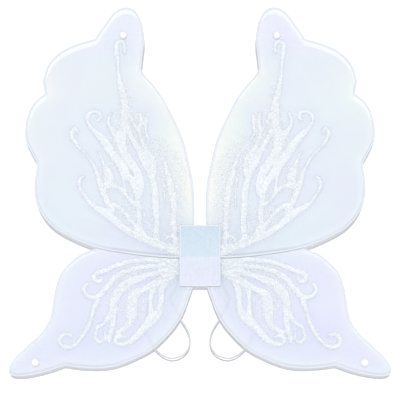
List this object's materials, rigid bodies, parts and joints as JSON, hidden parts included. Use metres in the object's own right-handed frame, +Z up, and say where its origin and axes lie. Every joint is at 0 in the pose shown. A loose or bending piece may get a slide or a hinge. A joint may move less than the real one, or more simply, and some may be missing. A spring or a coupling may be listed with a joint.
{
  "type": "costume fairy wings",
  "caption": "Wire-framed sheer costume wings with glitter veins, a creasing centre panel and elastic arm loops.",
  "frame": {"origin": "middle of the centre panel's back face, which rests on the wearer's spine", "axes": "+Z up as worn, +Y out of the back face towards the wearer, +X to the wearer's right, so the decorated side faces -Y"},
  "size_m": [0.5354, 0.017, 0.5178],
  "materials": {
    "cover_fabric": "iridescent sparkle knit",
    "pad_fabric": "soft brushed lining",
    "board": "matte",
    "wing_mesh": "sheer iridescent mesh",
    "wire": "satin white coating",
    "sleeve": "satin",
    "pearl": "pearl gloss",
    "elastic": "braided elastic"
  },
  "bodies": {
    "spine": {"spine_strip": "pad_fabric"},
    "left_half": {"pad_left": "pad_fabric", "board_left": "board", "front_cover_left": "cover_fabric", "strap_tab_upper_left": "pad_fabric", "strap_tab_lower_left": "pad_fabric"},
    "upper_left_wing": {"upper_left_mesh_back": "wing_mesh", "upper_left_mesh_front": "wing_mesh", "upper_left_wire": "wire", "upper_left_wire_sleeve": "sleeve", "upper_left_pearl": "pearl"},
    "lower_left_wing": {"lower_left_mesh_back": "wing_mesh", "lower_left_mesh_front": "wing_mesh", "lower_left_wire": "wire", "lower_left_wire_sleeve": "sleeve", "lower_left_pearl": "pearl"},
    "left_loop": {"elastic_loop_left": "elastic"},
    "right_half": {"pad_right": "pad_fabric", "board_right": "board", "front_cover_right": "cover_fabric", "strap_tab_upper_right": "pad_fabric", "strap_tab_lower_right": "pad_fabric"},
    "upper_right_wing": {"upper_right_mesh_back": "wing_mesh", "upper_right_mesh_front": "wing_mesh", "upper_right_wire": "wire", "upper_right_wire_sleeve": "sleeve", "upper_right_pearl": "pearl"},
    "lower_right_wing": {"lower_right_mesh_back": "wing_mesh", "lower_right_mesh_front": "wing_mesh", "lower_right_wire": "wire", "lower_right_wire_sleeve": "sleeve", "lower_right_pearl": "pearl"},
    "right_loop": {"elastic_loop_right": "elastic"}
  },
  "joints": [
    {"name": "left_fold", "type": "hinge", "parent": "spine", "child": "left_half", "pos_m": [0, -0.015, 0], "axis": [0, 0, 1], "range_deg": [0, 85]},
    {"name": "right_fold", "type": "hinge", "parent": "spine", "child": "right_half", "pos_m": [0, -0.015, 0], "axis": [0, 0, -1], "range_deg": [0, 85]},
    {"name": "upper_left_bend", "type": "hinge", "parent": "left_half", "child": "upper_left_wing", "pos_m": [-0.0098, -0.0114, 0.024], "axis": [0, -1, 0], "range_deg": [-3, 8]},
    {"name": "lower_left_bend", "type": "hinge", "parent": "left_half", "child": "lower_left_wing", "pos_m": [-0.0109, -0.0073, -0.034], "axis": [0, 1, 0], "range_deg": [-2, 8]},
    {"name": "upper_right_bend", "type": "hinge", "parent": "right_half", "child": "upper_right_wing", "pos_m": [0.0098, -0.0114, 0.024], "axis": [0, 1, 0], "range_deg": [-3, 8]},
    {"name": "lower_right_bend", "type": "hinge", "parent": "right_half", "child": "lower_right_wing", "pos_m": [0.0109, -0.0073, -0.034], "axis": [0, -1, 0], "range_deg": [-2, 8]},
    {"name": "left_loop_swing", "type": "hinge", "parent": "left_half", "child": "left_loop", "pos_m": [-0.03065, -0.00355, -0.022], "axis": [0.0517, 0, -0.9987], "range_deg": [0, 80]},
    {"name": "right_loop_swing", "type": "hinge", "parent": "right_half", "child": "right_loop", "pos_m": [0.03065, -0.00355, -0.022], "axis": [0.0517, 0, 0.9987], "range_deg": [0, 80]}
  ]
}
